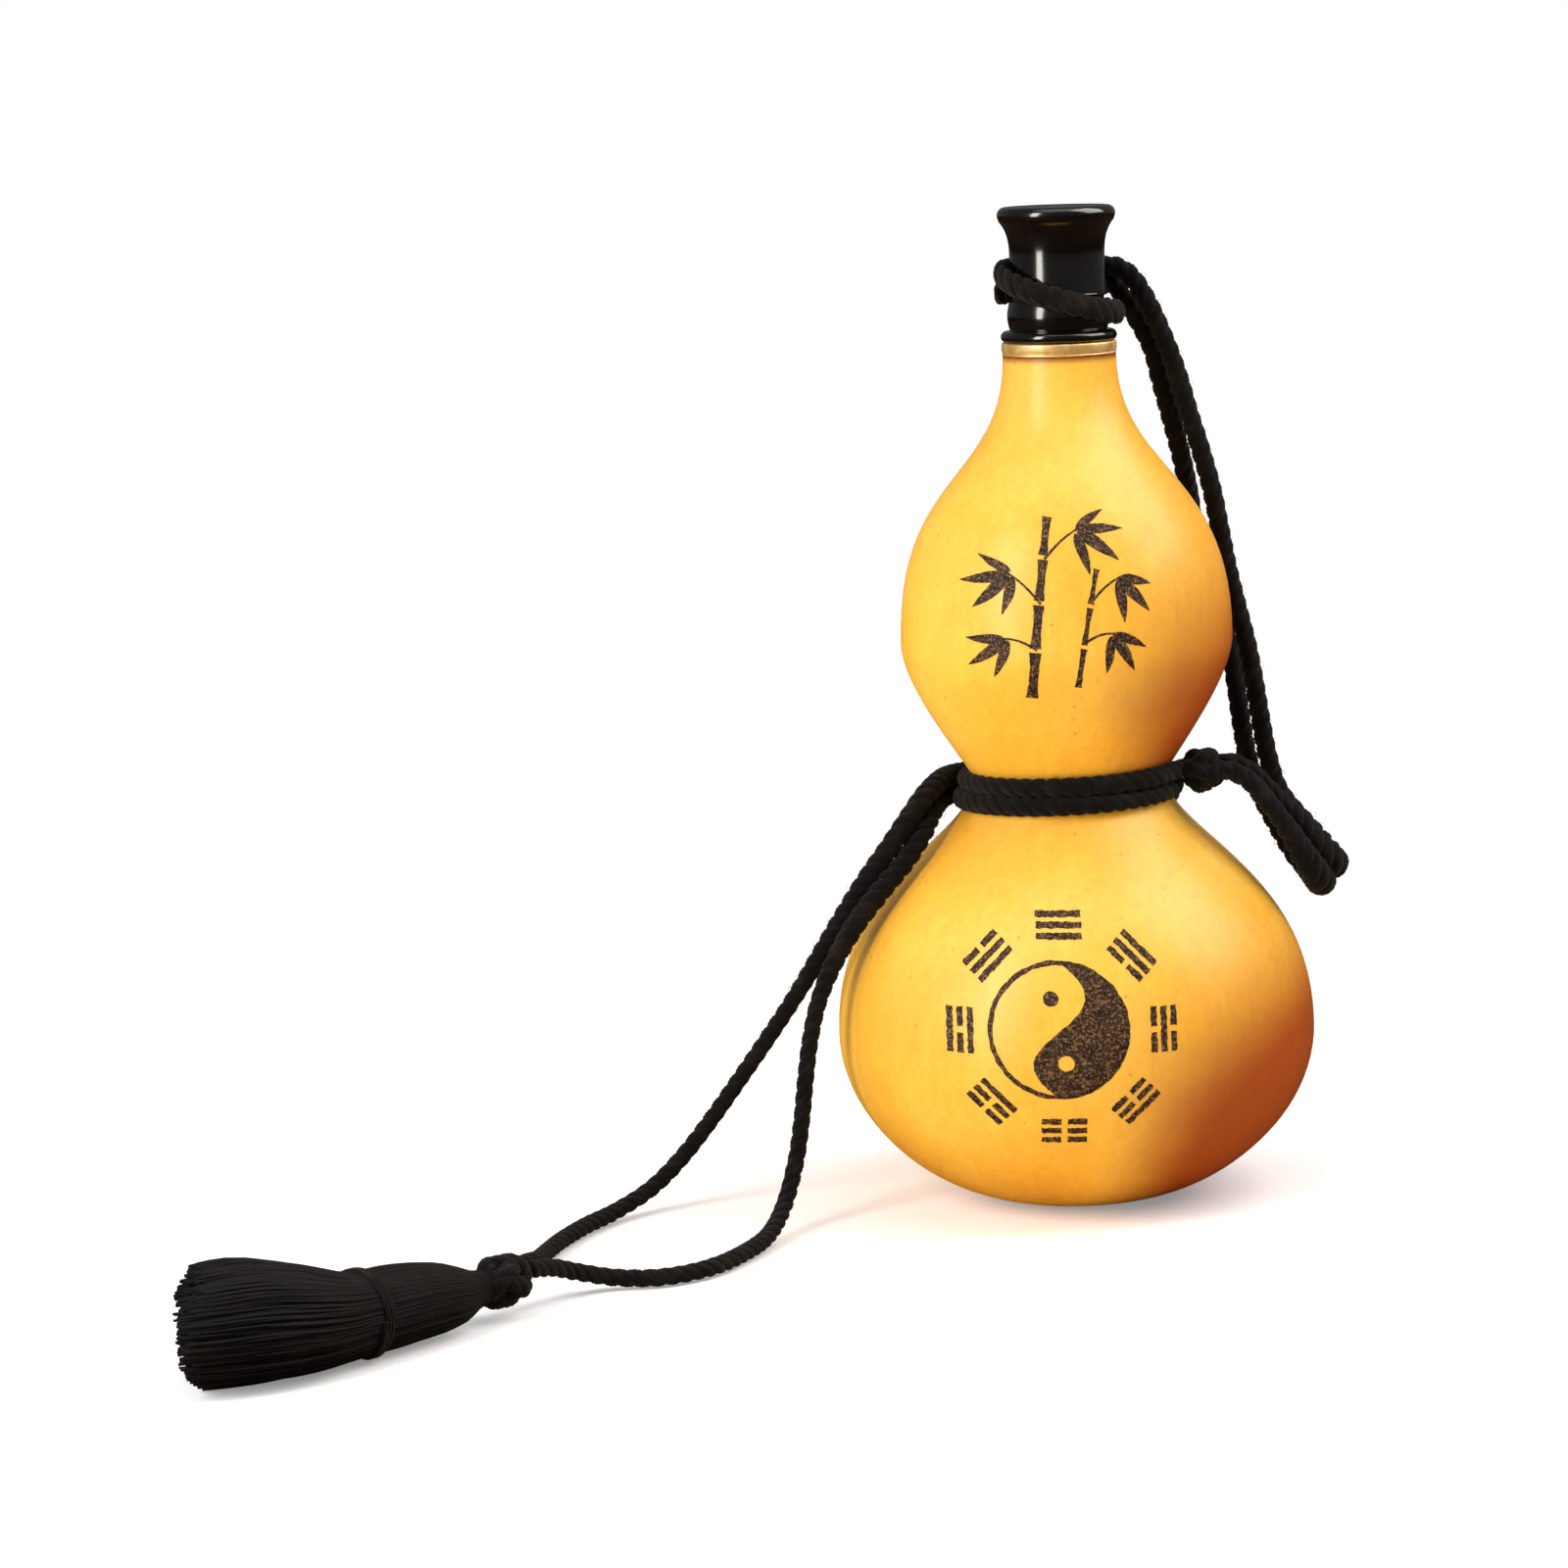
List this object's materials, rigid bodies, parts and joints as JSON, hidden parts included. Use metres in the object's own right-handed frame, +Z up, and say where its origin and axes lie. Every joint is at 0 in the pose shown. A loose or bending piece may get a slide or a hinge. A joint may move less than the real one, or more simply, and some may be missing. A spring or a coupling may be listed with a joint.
{
  "type": "gourd water bottle",
  "caption": "Two-bulb dried gourd bottle with a brass mouth, a black push-in stopper on a cord leash, a cord wound round the waist and a long tassel",
  "frame": {"origin": "centre of the gourd's flat base, on the surface that it stands on", "axes": "+Z up along the bottle's axis to the stopper, -Y out of the engraved front, +X to the slack of the leash"},
  "size_m": [0.2276, 0.1934, 0.2018],
  "materials": {
    "gourd": "waxed, softly polished",
    "wax": "beeswax",
    "brass": "turned and polished",
    "stopper": "glossy black",
    "stem": "satin black",
    "seal": "matte silicone",
    "cord": "matte twisted cotton",
    "tassel": "matte cotton yarn",
    "thread": "matte cotton thread"
  },
  "bodies": {
    "bottle": {"gourd_shell": "gourd", "wax_lining": "wax", "brass_mouth": "brass", "waist_wrap": "cord", "waist_knot": "cord", "leash_strand_a": "cord", "leash_strand_b": "cord", "tassel_strand_a": "cord", "tassel_strand_b": "cord", "tassel_knot": "tassel", "tassel_head": "tassel", "tassel_binding": "thread", "tassel_skirt": "tassel"},
    "hitch": {"stopper_hitch": "cord", "hitch_knot": "cord"},
    "stopper": {"stopper_body": "stopper", "stopper_stem": "stem", "upper_seal_ring": "seal", "lower_seal_ring": "seal"}
  },
  "joints": [
    {"name": "stopper_lift", "type": "slide", "parent": "bottle", "child": "hitch", "axis": [0, 0, 1], "range_m": [0, 0.04]},
    {"name": "stopper_twist", "type": "hinge", "parent": "hitch", "child": "stopper", "pos_m": [0, 0, 0.1747], "axis": [0, 0, 1], "continuous": true}
  ]
}
